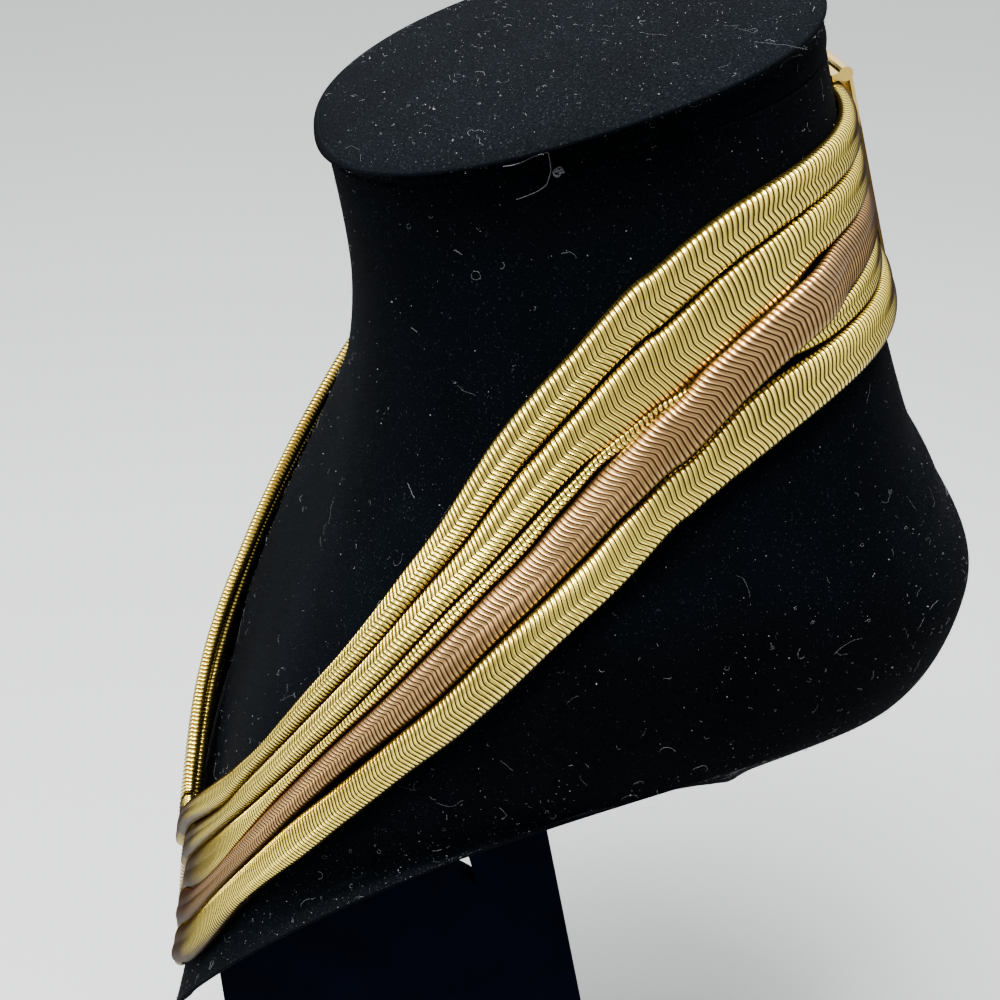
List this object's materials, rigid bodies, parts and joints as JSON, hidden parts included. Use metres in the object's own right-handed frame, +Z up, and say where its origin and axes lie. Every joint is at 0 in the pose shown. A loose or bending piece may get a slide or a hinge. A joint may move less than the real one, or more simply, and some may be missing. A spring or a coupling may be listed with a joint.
{
  "type": "collar choker necklace on neck bust",
  "caption": "V-front collar choker of flat woven snake chains in yellow and rose gold, on a tilted black velvet neck bust with a board stand.",
  "frame": {"origin": "middle of the footprint's bounding box, on the floor", "axes": "+Z up; the bust and the necklace's V face -Y; +X is the bust's left side, the one in the picture; mirror plane X = 0 but for where the top chain's halves meet"},
  "size_m": [0.1266, 0.1562, 0.2882],
  "materials": {
    "black_velvet": "flocked velvet",
    "navy_board": "flocked board",
    "yellow_gold": "woven links, polished",
    "rose_gold": "woven links, polished",
    "polished_gold": "polished plate"
  },
  "bodies": {
    "root": {"neck_bust": "black_velvet", "chain_top_left": "yellow_gold", "chain_top_right": "yellow_gold", "chain_second": "yellow_gold", "chain_slim": "yellow_gold", "chain_rose": "rose_gold", "chain_bottom": "yellow_gold", "clasp": "polished_gold", "stand_board": "navy_board", "stand_base": "navy_board"}
  },
  "joints": []
}
